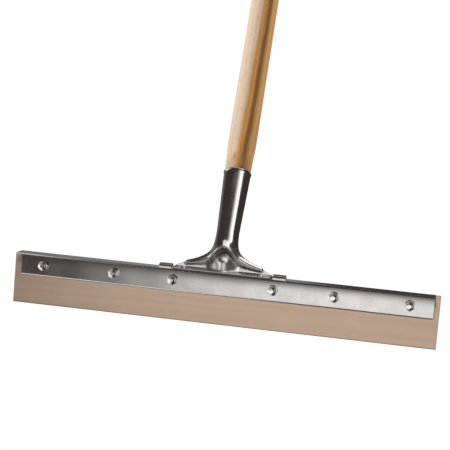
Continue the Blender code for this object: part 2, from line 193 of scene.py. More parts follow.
def slope_place(u, v, h):
    """World place, in millimetres, of points given in the socket's directions."""
    y = WEB_Y + v * math.sin(LEAN) - h * math.cos(LEAN)
    z = FOOT_Z + v * math.cos(LEAN) + h * math.sin(LEAN)
    return u, y, z


def axis_frame(v):
    """A frame on the handle's axis at v, with local +Z up the handle and local -Y to its front."""
    place = Vector(slope_place(0.0, v, AXIS_RISE))
    return Matrix.Translation(place) @ Matrix.Rotation(-LEAN, 4, "X")


# ======== mesh helpers
def outward_mesh(name, verts, faces):
    """A mesh in metres from millimetre points, with its normals facing out."""
    mesh = bpy.data.meshes.new(name)
    points = np.asarray(verts, dtype=float) * MM
    mesh.from_pydata(points.tolist(), [], [list(face) for face in faces])
    mesh.validate()
    bm = bmesh.new()
    bm.from_mesh(mesh)
    bmesh.ops.recalc_face_normals(bm, faces=bm.faces)
    bm.to_mesh(mesh)
    bm.free()
    mesh.update()
    return mesh


def linked_object(name, data):
    """An object with this mesh, camera or light, in the scene."""
    obj = bpy.data.objects.new(name, data)
    bpy.context.scene.collection.objects.link(obj)
    return obj


def add_piece(name, verts, faces, mat, nodes=(), slot="", smooth_degrees=40.0):
    """A new piece from millimetre points, riding on the part's one body."""
    mesh = outward_mesh(name, verts, faces)
    mesh.shade_smooth()
    mesh.set_sharp_from_angle(angle=math.radians(smooth_degrees))
    mesh.materials.append(mat)
    obj = linked_object(name, mesh)
    if nodes:
        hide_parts(*nodes)
    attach(obj, "root")
    return obj


def smooth_min(a, b, reach):
    """The smaller of two distances, with a fillet about reach wide where they meet."""
    blend = np.maximum(reach - np.abs(a - b), 0.0) / reach
    return np.minimum(a, b) - blend * blend * reach / 4


def round_meet(a, b, radius):
    """Inside both a and b, with the edge where they meet rounded."""
    over = np.hypot(np.maximum(a + radius, 0.0), np.maximum(b + radius, 0.0)) - radius
    return over + np.minimum(np.maximum(a, b) + radius, 0.0)


def surface_net(field, lows, highs, cell):
    """Vertices and quads where the field is zero, one vertex in each cell that the surface crosses."""
    axes = [np.arange(low, high, cell) for low, high in zip(lows, highs)]
    values = field(*np.meshgrid(*axes, indexing="ij"))
    cells = tuple(n - 1 for n in values.shape)
    sums = np.zeros((*cells, 3))
    counts = np.zeros(cells)
    crossings = []
    for axis in range(3):
        first = tuple(slice(None, -1) if i == axis else slice(None) for i in range(3))
        second = tuple(slice(1, None) if i == axis else slice(None) for i in range(3))
        low, high = values[first], values[second]
        crossing = (low < 0) != (high < 0)
        along = np.where(crossing, low / np.where(crossing, low - high, 1.0), 0.0)
        crossings.append((crossing, low < 0))
        others = [i for i in range(3) if i != axis]
        for steps in ((0, 0), (0, 1), (1, 0), (1, 1)):
            pick = [slice(None)] * 3
            for other, step in zip(others, steps):
                pick[other] = slice(step, step + cells[other])
            hit = crossing[tuple(pick)]
            counts += hit
            sums[..., axis] += along[tuple(pick)] * hit
            for other, step in zip(others, steps):
                sums[..., other] += step * hit
    used = counts > 0
    index = np.full(cells, -1)
    index[used] = np.arange(used.sum())
    corners = np.stack([axis_values[:-1][i] for axis_values, i in zip(axes, np.nonzero(used))], axis=1)
    points = corners + sums[used] / counts[used][:, None] * cell
    quads = []
    for axis, (crossing, starts_inside) in enumerate(crossings):
        b, c = [i for i in range(3) if i != axis]
        spots = np.argwhere(crossing)
        inner = (spots[:, [b, c]] > 0) & (spots[:, [b, c]] < [cells[b], cells[c]])
        spots = spots[inner.all(axis=1)]
        ring = []
        for step_b, step_c in ((-1, -1), (0, -1), (0, 0), (-1, 0)):
            spot = spots.copy()
            spot[:, b] += step_b
            spot[:, c] += step_c
            ring.append(index[tuple(spot.T)])
        ring = np.stack(ring, axis=1)
        flip = starts_inside[tuple(spots.T)] != (axis != 1)
        ring[flip] = ring[flip][:, ::-1]
        quads.append(ring)
    return points, np.concatenate(quads)


def settle(field, points, rounds, limit):
    """Move points onto the field's surface along its slope, by no more than limit each round."""
    step = 0.02
    least_slope = 0.25
    for _ in range(rounds):
        value = field(*points.T)
        slope = np.zeros_like(points)
        for axis in range(3):
            shift = np.zeros(3)
            shift[axis] = step
            slope[:, axis] = (field(*(points + shift).T) - field(*(points - shift).T)) / (2 * step)
        size = np.maximum((slope ** 2).sum(axis=1), least_slope)
        move = -value[:, None] * slope / size[:, None]
        length = np.maximum(np.linalg.norm(move, axis=1), 1e-9)
        points = points + move * np.minimum(1.0, limit / length)[:, None]
    return points


def largest_part(points, quads):
    """Only the biggest connected part of a mesh."""
    group = np.arange(len(points))
    while True:
        lowest = group[quads].min(axis=1)
        before = group.copy()
        for corner in range(4):
            np.minimum.at(group, quads[:, corner], lowest)
        group = group[group]
        if (group == before).all():
            break
    names, sizes = np.unique(group, return_counts=True)
    keep = group == names[sizes.argmax()]
    new_index = np.cumsum(keep) - 1
    return points[keep], new_index[quads[keep[quads[:, 0]]]]


def eased(points, quads, rounds):
    """Each point moved halfway to the middle of its neighbours, a few times over."""
    first = quads.ravel()
    second = np.roll(quads, -1, axis=1).ravel()
    for _ in range(rounds):
        total = np.zeros_like(points)
        count = np.zeros(len(points))
        np.add.at(total, first, points[second])
        np.add.at(count, first, 1)
        points = (points + total / count[:, None]) / 2
    return points


# ======== socket
def foot_half_width(v):
    """Half the web's width up the slope."""
    spread = np.exp(-(np.maximum(v, 0.0) / FOOT_CORNER) ** FOOT_POWER)
    return FOOT_NARROW + (FOOT_HALF - FOOT_NARROW) * spread


def tube_radius(v):
    """Outer radius of the tube up the slope."""
    return WAIST_R + (RIM_R - WAIST_R) * np.clip((v - WAIST_V) / (RIM_V - WAIST_V), 0.0, 1.0)


def ridge_points():
    """Points and radii along a ridge's centre curve."""
    points = []
    for i in range(RIDGE_STEPS + 1):
        t = i / RIDGE_STEPS
        weights = ((1 - t) ** 3, 3 * t * (1 - t) ** 2, 3 * t * t * (1 - t), t ** 3)
        spot = sum(weight * np.array(control) for weight, control in zip(weights, RIDGE_CURVE))
        points.append((spot, RIDGE_RADII[0] + t * (RIDGE_RADII[1] - RIDGE_RADII[0])))
    return points


def ridge_field(side, v, h):
    """Distance to the ridges: round rods whose radius falls towards the foot's corners."""
    nearest = None
    points = ridge_points()
    for (start, start_radius), (end, end_radius) in zip(points, points[1:]):
        span = end - start
        along = (side - start[0]) * span[0] + (v - start[1]) * span[1] + (h - start[2]) * span[2]
        t = np.clip(along / (span @ span), 0.0, 1.0)
        gap_u = side - start[0] - t * span[0]
        gap_v = v - start[1] - t * span[1]
        gap_h = h - start[2] - t * span[2]
        radius = start_radius + t * (end_radius - start_radius)
        reach = np.sqrt(gap_u ** 2 + gap_v ** 2 + gap_h ** 2) - radius
        nearest = reach if nearest is None else np.minimum(nearest, reach)
    return nearest


def web_front(side, z):
    """Where the web lies: a flat slope with the bell-shaped bulge raised to an upright front."""
    rise = z - FOOT_Z
    slope = WEB_Y + rise * math.tan(LEAN + WEB_TILT)
    reach = np.hypot(side, np.maximum(rise - BELL_SHOULDER, 0.0)) / BELL_HALF
    return slope - np.maximum(slope - BELL_FRONT, 0.0) * np.exp(-reach ** 3)


def arch_field(side, v):
    """Distance below the arch between the two ridges, and so above zero under it."""
    fall = np.exp(-(side / ARCH_SPREAD) ** 2)
    slant = (ARCH_TOP - ARCH_END) * fall * 2 * side / ARCH_SPREAD ** 2
    return (ARCH_END + (ARCH_TOP - ARCH_END) * fall - v) / np.hypot(1.0, slant)


def strip_field(side, y, half, front, back):
    """Distance to a strip on the flange that reaches half to each side and lies between front and back."""
    return np.maximum(side - half, np.abs(y - (front + back) / 2) - (back - front) / 2)


def base_field(side, y, z):
    """The foot's flat base and its tongues, with the rivet holes taken out."""
    height = np.abs(z - FOOT_Z - SHEET / 2) - SHEET / 2
    plate = strip_field(side, y, FOOT_HALF, BASE_FRONT, WEB_Y)
    tongue = strip_field(side, y, SOCKET_HIGH.x, TONGUE_FRONT, TONGUE_BACK)
    outline = smooth_min(plate, tongue, TONGUE_FILLET)
    outline = np.maximum(outline, RIVET_HOLE - np.hypot(side - RIVET_X, y - RIVET_Y))
    return round_meet(outline, height, CUT_ROUND)


def web_fields(side, v, y, z):
    """Distances to the solid whose front the web follows, and to the room behind the web's sheet."""
    slant = foot_half_width(v + 0.5) - foot_half_width(v - 0.5)
    edge = (side - foot_half_width(v) + SHEET / 2) / np.hypot(1.0, slant)
    step = 0.1
    lie = web_front(side, z)
    steep = np.hypot(web_front(side + step, z) - lie, web_front(side, z + step) - lie) / step
    above = (lie - y) / np.hypot(1.0, steep)
    web = np.maximum(np.maximum(above, edge), v - SLOT_START)
    behind = np.maximum(above + SHEET / 2, v - SLOT_START - SHEET)
    return web, behind


def tube_field(u, side, v, h):
    """Distance to a rod that fills the tube to the middle of its wall, swollen at the rim and the arch."""
    flare = RIM_FLARE * np.clip((v - RIM_V + RIM_FLARE_LENGTH) / RIM_FLARE_LENGTH, 0.0, 1.0) ** 2
    flare += ARCH_FLARE * np.exp(-(arch_field(side, v) / ARCH_REACH) ** 2)
    return np.hypot(u, h - AXIS_RISE) - (tube_radius(v) + flare - SHEET / 2)


def slot_field(side, v, h):
    """Distance to the gap in the tube's back, which closes up the tube to a narrow seam."""
    closing = np.clip((v - SLOT_START) / (SLOT_END - SLOT_START), 0.0, 1.0)
    return np.maximum(side - SEAM_HALF - (SLOT_HALF - SEAM_HALF) * (1.0 - closing) ** 1.5, h)


def socket_field(u, v, h):
    """Below zero inside the pressed sheet of the socket."""
    side = np.abs(u)
    _, y, z = slope_place(u, v, h)
    tube = smooth_min(tube_field(u, side, v, h), ridge_field(side, v, h), RIDGE_FILLET)
    front = round_meet(tube, arch_field(side, v), ARCH_ROUND)
    web, behind_web = web_fields(side, v, y, z)
    formed = smooth_min(front, web, WEB_FILLET)
    dome = np.sqrt(u ** 2 + (y - DOME_Y) ** 2 + np.maximum(z - FOOT_Z - DOME_RISE, 0.0) ** 2) - DOME_R
    formed = smooth_min(formed, dome, DOME_FILLET)
    sheet = np.abs(formed) - SHEET / 2
    sheet = round_meet(sheet, -np.minimum(behind_web, slot_field(side, v, h)), CUT_ROUND)
    base = np.maximum(base_field(side, y, z), -(dome + SHEET / 2))
    sheet = smooth_min(sheet, base, BASE_FILLET)
    return round_meet(round_meet(sheet, v - RIM_V, RIM_ROUND), FOOT_Z - z, FOOT_ROUND)


def make_socket(mat):
    """The pressed socket: a net over its field, settled on it and eased so that no steps show."""
    lows = (-SOCKET_HIGH.x - NET_MARGIN, NET_LOW_V, NET_LOW_H)
    highs = (SOCKET_HIGH.x + NET_MARGIN, RIM_V + NET_MARGIN, AXIS_RISE + RIM_R + NET_MARGIN)
    points, quads = surface_net(socket_field, lows, highs, NET_CELL)
    points, quads = largest_part(points, quads)
    points = settle(socket_field, points, rounds=3, limit=0.25)
    points = settle(socket_field, eased(points, quads, rounds=3), rounds=2, limit=0.15)
    world = np.stack(slope_place(*points.T), axis=1)
    add_piece("pressed_socket", world, quads, mat, ["socket"], "socket_steel", smooth_degrees=80.0)


# ======== turned and extruded shapes
def rounded(corners, steps=6):
    """A closed outline from (a, b, radius) corners, each one turned with an arc of that radius."""
    outline = []
    for i, (a, b, radius) in enumerate(corners):
        here = Vector((a, b))
        before = (Vector(corners[i - 1][:2]) - here).normalized()
        after = (Vector(corners[(i + 1) % len(corners)][:2]) - here).normalized()
        half = before.angle(after) / 2
        centre = here + (before + after).normalized() * radius / math.sin(half)
        start = here + before * radius / math.tan(half) - centre
        end = here + after * radius / math.tan(half) - centre
        start.normalize()
        end.normalize()
        outline += [tuple(centre + start.slerp(end, k / steps) * radius) for k in range(steps + 1)]
    return outline


def rolled_leg(outline):
    """The angle's outline with the leg's upper part curving gently into the bend."""
    low = ANGLE_LOW.z + ROLL_START
    high = FRAME_TOP - FRAME_SHEET
    rolled = []
    for i, (y, z) in enumerate(outline):
        next_y, next_z = outline[(i + 1) % len(outline)]
        pieces = max(1, round(math.hypot(next_y - y, next_z - z) / ROLL_STEP))
        for k in range(pieces):
            at_y = y + (next_y - y) * k / pieces
            at_z = z + (next_z - z) * k / pieces
            rise = min(max((at_z - low) / (high - low), 0.0), 1.0)
            depth = (at_y - ANGLE_LOW.y) / (LEG_BACK - ANGLE_LOW.y)
            rolled.append((at_y - LEG_ROLL * rise ** 3 * depth, at_z))
    return rolled


def wavy(shape, reach):
    """The shape with slow, slight waves along X, as rolled sheet and moulded rubber have."""
    verts = []
    for x, y, z in shape[0]:
        y += reach * (math.sin(x / 17.0 + z / 25.0) + 0.6 * math.sin(x / 7.3 + 1.0)) / 2
        z += reach * (math.sin(x / 21.0 + y / 20.0 + 2.0) + 0.6 * math.sin(x / 9.1)) / 2
        verts.append((x, y, z))
    return verts, shape[1]


def extruded(outline, stations):
    """Vertices and faces of a (y, z) outline carried along X, with flat ends."""
    count = len(outline)
    verts = [(x, y, z) for x in stations for y, z in outline]
    faces = [tuple(range(count)), tuple(reversed(range(len(verts) - count, len(verts))))]
    for row in range(len(stations) - 1):
        for i in range(count):
            j = (i + 1) % count
            low = row * count
            faces.append((low + i, low + count + i, low + count + j, low + j))
    return verts, faces


def hex_reach(angle, flats, limit):
    """Distance from a hexagon's centre to its side at this angle, no further than limit."""
    sixth = math.radians(60.0)
    return min(flats / 2 / math.cos(angle % sixth - sixth / 2), limit)


def band(low, high, sides):
    """Quads between two rings, given the first vertex of each."""
    return [(low + i, low + (i + 1) % sides, high + (i + 1) % sides, high + i) for i in range(sides)]


def stacked(rows, sides):
    """Faces of rings stacked one above another, with both ends capped."""
    last = (rows - 1) * sides
    faces = [tuple(reversed(range(sides))), tuple(range(last, last + sides))]
    for row in range(rows - 1):
        faces += band(row * sides, (row + 1) * sides, sides)
    return faces


def turned(rings, sides=TURNED_SIDES, closed=False):
    """Vertices and faces round local Z.

    A ring is (height, radius), or (height, largest radius, flats) where it is hexagonal.  With closed the
    last ring joins the first, which makes a tube; without it both ends are capped.
    """
    verts = []
    for ring in rings:
        for i in range(sides):
            angle = 2 * math.pi * i / sides
            reach = hex_reach(angle, ring[2], ring[1]) if len(ring) == 3 else ring[1]
            verts.append((reach * math.cos(angle), reach * math.sin(angle), ring[0]))
    if not closed:
        return verts, stacked(len(rings), sides)
    faces = []
    for row in range(len(rings)):
        faces += band(row * sides, (row + 1) % len(rings) * sides, sides)
    return verts, faces


def placed(matrix, shape):
    """The shape moved by a matrix."""
    verts, faces = shape
    return [tuple(matrix @ Vector(vert)) for vert in verts], faces


def joined(*shapes):
    """Several shapes as one."""
    verts, faces = [], []
    for more_verts, more_faces in shapes:
        start = len(verts)
        verts += more_verts
        faces += [tuple(start + i for i in face) for face in more_faces]
    return verts, faces


def towards_nuts(x, y, z, turn=0.0, tilt=0.0):
    """Local +Z along -Y with its zero at (x, y, z), turned round itself and tilted by degrees."""
    facing = Matrix.Rotation(math.radians(90.0 + tilt), 4, "X") @ Matrix.Rotation(math.radians(tilt), 4, "Y")
    return Matrix.Translation((x, y, z)) @ facing @ Matrix.Rotation(math.radians(turn), 4, "Z")


def combined(shape, changes):
    """A shape after Booleans: changes are (operation, shape) in order."""
    body = linked_object("body", outward_mesh("body", *shape))
    helpers = []
    for operation, other in changes:
        helpers.append(linked_object("helper", outward_mesh("helper", *other)))
        modifier = body.modifiers.new(operation, "BOOLEAN")
        modifier.operation = operation
        modifier.solver = "EXACT"
        modifier.object = helpers[-1]
    mesh = body.evaluated_get(bpy.context.evaluated_depsgraph_get()).to_mesh()
    verts = [tuple(vert.co / MM) for vert in mesh.vertices]
    faces = [tuple(face.vertices) for face in mesh.polygons]
    for obj in (body, *helpers):
        bpy.data.objects.remove(obj)
    return verts, faces


def clamp_places():
    """Middle of each nut's seat on the leg."""
    places = []
    for number in CLAMPS:
        low, high = box_mm(f"clamp_nut_{number}")
        places.append(((low.x + high.x) / 2, high.y, (low.z + high.z) / 2))
    return places


def bolt_holes(front, back):
    """Drills for all the bolts, from past the front to past the back of a sheet."""
    drill = turned([(-DRILL_PAST, HOLE_R), (back - front + DRILL_PAST, HOLE_R)], 48)
    return joined(*[placed(towards_nuts(x, back, z), drill) for x, _, z in clamp_places()])


# ======== frame and rubber
def loop_outlines():
    """Outlines of the slot under a loop and of the loop's strap."""
    under = FRAME_TOP - FRAME_SHEET
    middle = (FRAME_TOP + LOOP_TOP) / 2
    slot_front = LOOP_FRONT + LOOP_WALL
    slot_back = LOOP_BACK - LOOP_WALL
    slot = rounded([(slot_front, middle, 0.2), (slot_back, middle, 0.2),
                    (slot_back, under - 1.0, 0.2), (slot_front, under - 1.0, 0.2)])
    sunk = FRAME_TOP - LOOP_SUNK
    strap_under = LOOP_TOP - FRAME_SHEET
    strap = rounded([(LOOP_FRONT - 1.9, sunk, 0.1), (LOOP_FRONT - 0.5, FRAME_TOP + 0.7, 0.4),
                     (LOOP_FRONT + 0.5, LOOP_TOP - 0.9, 0.6), (LOOP_BACK - 0.8, LOOP_TOP, 1.0),
                     (LOOP_BACK + 0.9, FRAME_TOP + 0.1, 1.0), (LOOP_BACK + 1.9, sunk, 0.1),
                     (LOOP_BACK - 0.7, sunk, 0.1), (LOOP_BACK - 1.8, strap_under, 0.5),
                     (LOOP_FRONT + 1.9, strap_under - 0.8, 0.5), (LOOP_FRONT + 0.7, sunk, 0.1)])
    return slot, strap


def make_frame_angle(mat):
    """The steel angle: leg, bend and flange, with two raised loops for the foot's tongues."""
    under = FRAME_TOP - FRAME_SHEET
    corners = [(LEG_BACK, ANGLE_LOW.z, 0.2), (LEG_FRONT + LIP_DEEP, ANGLE_LOW.z, 0.2)]
    corners += [(LEG_FRONT, ANGLE_LOW.z + LIP_TALL, 0.3), (LEG_FRONT, under, BEND_INSIDE)]
    corners += [(ANGLE_LOW.y + 0.5, under, 0.05), (ANGLE_LOW.y, FRAME_TOP, 0.05)]
    corners += [(LEG_BACK, FRAME_TOP, BEND_INSIDE + FRAME_SHEET)]
    stations = np.linspace(ANGLE_LOW.x, ANGLE_HIGH.x, FRAME_SLICES)
    sheet = wavy(extruded(rolled_leg(rounded(corners)), stations), FRAME_WAVE)
    changes = [("DIFFERENCE", bolt_holes(LEG_FRONT, LEG_BACK))]
    slot, strap = loop_outlines()
    for x in (-LOOP_X, LOOP_X):
        changes.append(("DIFFERENCE", extruded(slot, (x - LOOP_HALF - GAP, x + LOOP_HALF + GAP))))
        changes.append(("UNION", extruded(strap, (x - LOOP_HALF, x + LOOP_HALF))))
    drill = turned([(-DRILL_PAST, RIVET_HOLE), (FRAME_SHEET + DRILL_PAST, RIVET_HOLE)], 48)
    for x in (-RIVET_X, RIVET_X):
        changes.append(("DIFFERENCE", placed(Matrix.Translation((x, RIVET_Y, under)), drill)))
    add_piece("steel_angle", *combined(sheet, changes), mat, ["frame_angle"], "frame_steel")


def make_backing_strip(mat):
    """The flat bar behind the rubber, with holes for the bolts."""
    corners = [(y, z, 0.5) for y, z in ((STRIP_HIGH.y, STRIP_LOW.z), (STRIP_LOW.y, STRIP_LOW.z),
                                        (STRIP_LOW.y, STRIP_HIGH.z), (STRIP_HIGH.y, STRIP_HIGH.z))]
    shape = extruded(rounded(corners), np.linspace(STRIP_LOW.x, STRIP_HIGH.x, FRAME_SLICES))
    changes = [("DIFFERENCE", bolt_holes(STRIP_LOW.y, STRIP_HIGH.y))]
    add_piece("steel_strip", *combined(shape, changes), mat, ["backing_strip"], "frame_steel")


def make_rubber(mat):
    """The blade: square-cut rubber with softened edges, not perfectly flat."""
    low, high = BLADE_LOW, BLADE_HIGH
    outline = rounded([(high.y, low.z, 0.6), (low.y, low.z, 0.6),
                       (low.y, high.z, 0.5), (high.y, high.z, 0.5)])
    ends = [BLADE_END_ROUND * (1 - math.cos(math.radians(90.0) * k / 5)) for k in range(6)]
    stations = [low.x + end for end in ends] + list(np.linspace(low.x + 3.0, high.x - 3.0, FRAME_SLICES))
    stations += [high.x - end for end in reversed(ends)]
    verts, faces = extruded(outline, stations)
    middle = (low.y + high.y) / 2
    half = (high.y - low.y) / 2
    softened = []
    for x, y, z in verts:
        inset = 1 - min(x - low.x, high.x - x, BLADE_END_ROUND) / BLADE_END_ROUND
        narrowed = half - BLADE_END_ROUND * (1 - math.sqrt(1 - min(inset * inset, 1.0)))
        if z > high.z - 1.0:
            z -= CORNER_DROP * max(0.0, (low.x + CORNER_REACH - x) / CORNER_REACH)
        softened.append((x, middle + (y - middle) * narrowed / half, z))
    blade = combined(wavy((softened, faces), BLADE_WAVE), [("DIFFERENCE", bolt_holes(low.y, high.y))])
    return add_piece("tan_rubber", *blade, mat, ["rubber_blade"], "gum_rubber")


# ======== fasteners
def hex_rings(low, high, chamfer_low=True, chamfer_high=True):
    """Rings of a hexagonal prism whose corners are turned down at its ends."""
    corner = HEX_FLATS / 2 / math.cos(math.radians(30.0))
    slope = math.tan(math.radians(30.0))
    steps = [HEX_TURNED_DOWN * k / 4 for k in range(5)]
    chamfer = [(step * slope, corner - HEX_TURNED_DOWN + step) for step in steps]
    square = [(0.0, corner)]
    lower = [(low + rise, radius) for rise, radius in (chamfer if chamfer_low else square)]
    upper = [(high - rise, radius) for rise, radius in reversed(chamfer if chamfer_high else square)]
    return [(height, radius, HEX_FLATS) for height, radius in lower + upper]


def threaded(start, end, tip):
    """A bolt's shank from start, threaded as far as end, with a chamfered point that is tip long."""
    sides = 40
    rings_per_turn = 8
    chamfer = 1.1
    rings = round((end - start) / PITCH * rings_per_turn)
    verts = []
    for row in range(rings + 1):
        height = start + (end - start) * row / rings
        for i in range(sides):
            angle = 2 * math.pi * i / sides
            wave = abs(2 * ((height / PITCH - i / sides) % 1.0) - 1)
            pointed = BOLT_R - chamfer + max(end - height, 0.0) * chamfer / tip
            radius = min(BOLT_R - THREAD_DEPTH * wave, pointed)
            verts.append((radius * math.cos(angle), radius * math.sin(angle), height))
    return verts, stacked(rings + 1, sides)


def make_bolt(number, facing, head_base, mat):
    """One bolt: its hexagonal head behind the washer and its threaded shank."""
    low, high = box_mm(f"clamp_bolt_{number}")
    head = turned(hex_rings(-high.y, head_base, True, False))
    shank = threaded(head_base - 0.5, -low.y, 0.9)
    bolt = combined(placed(facing, head), [("UNION", placed(facing, shank))])
    add_piece(f"bolt_{number}", *bolt, mat, [f"clamp_bolt_{number}"], "fastener_steel", smooth_degrees=25.0)


def make_washer(number, facing, mat):
    """One flat washer whose outer edges are slightly rounded."""
    low, high = box_mm(f"clamp_washer_{number}")
    front, back = -low.y, -high.y
    outer = (high.x - low.x) / 2
    rings = [(front, HOLE_R), (front, outer - 0.4), (front - 0.25, outer), (back + 0.25, outer)]
    rings += [(back, outer - 0.4), (back, HOLE_R)]
    washer = placed(facing, turned(rings, closed=True))
    add_piece(f"washer_{number}", *washer, mat, [f"clamp_washer_{number}"], "fastener_steel")


def make_nut(number, seat, mat):
    """One nut: a hexagon, then a round collar with a rounded end and a shallow recess round its bore."""
    height = seat[1] - box_mm(f"clamp_nut_{number}")[0].y
    shoulder = height - COLLAR_HEIGHT
    rings = [(0.0, HOLE_R), (0.0, NUT_SEAT_R)] + hex_rings(0.0, shoulder)
    rings += [(shoulder, COLLAR_R - 0.1), (shoulder + 0.3, COLLAR_R), (height - 1.0, COLLAR_R - 0.05)]
    rings += [(height - 0.45, COLLAR_R - 0.3), (height - 0.12, COLLAR_R - 0.75), (height, COLLAR_R - 1.2)]
    rings += [(height - 0.15, COLLAR_BORE + 0.35), (height - 0.7, COLLAR_BORE + 0.3)]
    rings += [(height - 0.75, HOLE_R)]
    facing = towards_nuts(*seat, NUT_TURNS[number - 1], NUT_TILTS[number - 1])
    nut = placed(facing, turned(rings, closed=True))
    add_piece(f"nut_{number}", *nut, mat, [f"clamp_nut_{number}"], "fastener_steel")


def make_clamps(mat):
    """The six bolts, each with its washer behind and its nut in front."""
    for number, seat in zip(CLAMPS, clamp_places()):
        facing = towards_nuts(seat[0], 0.0, seat[2])
        head_base = -(box_mm(f"clamp_washer_{number}")[1].y + GAP)
        make_bolt(number, facing, head_base, mat)
        make_washer(number, facing, mat)
        make_nut(number, seat, mat)


def dome_rings(base, rise, radius, steps=6):
    """Rings of a low round head that stands on base."""
    angles = [math.radians(90.0) * k / steps for k in range(steps)]
    rings = [(base + rise * math.sin(angle), radius * math.cos(angle)) for angle in angles]
    return rings + [(base + rise, radius * 0.08)]


def make_rivets(mat):
    """The two rivets that hold the foot's base to the flange, round at both ends."""
    top = SHEET + 2 * GAP
    bottom = -FRAME_SHEET - GAP
    below = dome_rings(bottom, RIVET_HEAD, RIVET_HEAD_R)
    rings = [(2 * bottom - z, radius) for z, radius in reversed(below)]
    rings += [(bottom, RIVET_R), (top, RIVET_R)] + dome_rings(top, RIVET_HEAD, RIVET_HEAD_R)
    for side, x in (("left", -RIVET_X), ("right", RIVET_X)):
        rivet = placed(Matrix.Translation((x, RIVET_Y, FRAME_TOP)), turned(rings))
        add_piece(f"rivet_{side}", *rivet, mat, [f"foot_rivet_{side}"], "fastener_steel")


def screw_frame():
    """On the tube's axis at the screw, with local +Z pointing out of the tube through it."""
    outward = Matrix.Rotation(SCREW_TURN, 4, "Z") @ Matrix.Rotation(math.radians(90.0), 4, "X")
    return axis_frame(SCREW_V) @ outward


def make_screw(mat):
    """A slotted round-head screw through the back of the tube."""
    wall = float(tube_radius(SCREW_V)) + GAP
    rings = [(wall - SCREW_LENGTH, 0.2), (wall - SCREW_LENGTH + SCREW_POINT, SCREW_R), (wall, SCREW_R)]
    rings += dome_rings(wall, SCREW_HEAD, SCREW_HEAD_R)
    slot_low = wall + SCREW_HEAD * 0.45
    slot_high = slot_low + 4.0
    slot = rounded([(-SCREW_SLOT_HALF, slot_low, 0.05), (SCREW_SLOT_HALF, slot_low, 0.05),
                    (SCREW_SLOT_HALF, slot_high, 0.05), (-SCREW_SLOT_HALF, slot_high, 0.05)], 2)
    cut = extruded(slot, (-SCREW_HEAD_R - 1.4, SCREW_HEAD_R + 1.4))
    screw = combined(placed(screw_frame(), turned(rings)), [("DIFFERENCE", placed(screw_frame(), cut))])
    add_piece("socket_screw", *screw, mat, ["handle_screw"], "fastener_steel")


# ======== handle
def handle_radius(v):
    """A taper inside the socket, a shoulder just above its rim, then straight to a domed top."""
    inside = float(tube_radius(v)) - SHEET - 2 * GAP
    chamfer_length, chamfer_depth = HANDLE_CHAMFER
    if v < HANDLE_START + chamfer_length:
        return inside - chamfer_depth * (HANDLE_START + chamfer_length - v) / chamfer_length
    if v <= RIM_V:
        return inside
    if v <= SHOULDER_V:
        return inside + (SHOULDER_R - inside) * (v - RIM_V) / (SHOULDER_V - RIM_V)
    swell = min((v - SHOULDER_V) / SWELL_LENGTH, 1.0)
    radius = SHOULDER_R + (HANDLE_R - SHOULDER_R) * swell * swell * (3 - 2 * swell)
    over = max(v - HANDLE_TOP + TOP_DOME, 0.0) / TOP_DOME
    return radius * max(1.0 - over ** 2.4, 0.0) ** 0.45


def make_handle(mat):
    """The turned handle, very slightly out of round, with a pilot hole for the screw."""
    levels = [HANDLE_START, HANDLE_START + HANDLE_CHAMFER[0]]
    levels += list(np.linspace(HANDLE_START + 15.0, RIM_V, 8)) + [RIM_V + 2.5]
    levels += list(np.linspace(SHOULDER_V, RIM_V + 40.0, 12))
    levels += list(np.linspace(RIM_V + 50.0, HANDLE_TOP - TOP_DOME - 1.0, 110))
    levels += list(np.linspace(HANDLE_TOP - TOP_DOME, HANDLE_TOP - 0.6, 10)) + [HANDLE_TOP - 0.15]
    verts = []
    for v in levels:
        for i in range(HANDLE_SIDES):
            angle = 2 * math.pi * i / HANDLE_SIDES
            uneven = 0.07 * math.sin(2 * angle + v / 170.0) + 0.04 * math.sin(3 * angle - v / 90.0)
            radius = handle_radius(v) + (uneven if v > SHOULDER_V else 0.0)
            verts.append((radius * math.cos(angle), radius * math.sin(angle), v - SCREW_V))
    wood = placed(axis_frame(SCREW_V), (verts, stacked(len(levels), HANDLE_SIDES)))
    outer = float(tube_radius(SCREW_V)) + GAP
    pilot = turned([(outer - SCREW_LENGTH - 1.0, SCREW_R + GAP), (outer, SCREW_R + GAP)], 32)
    handle = combined(wood, [("DIFFERENCE", placed(screw_frame(), pilot))])
    return add_piece("wooden_handle", *handle, mat, ["handle"], "handle_wood")


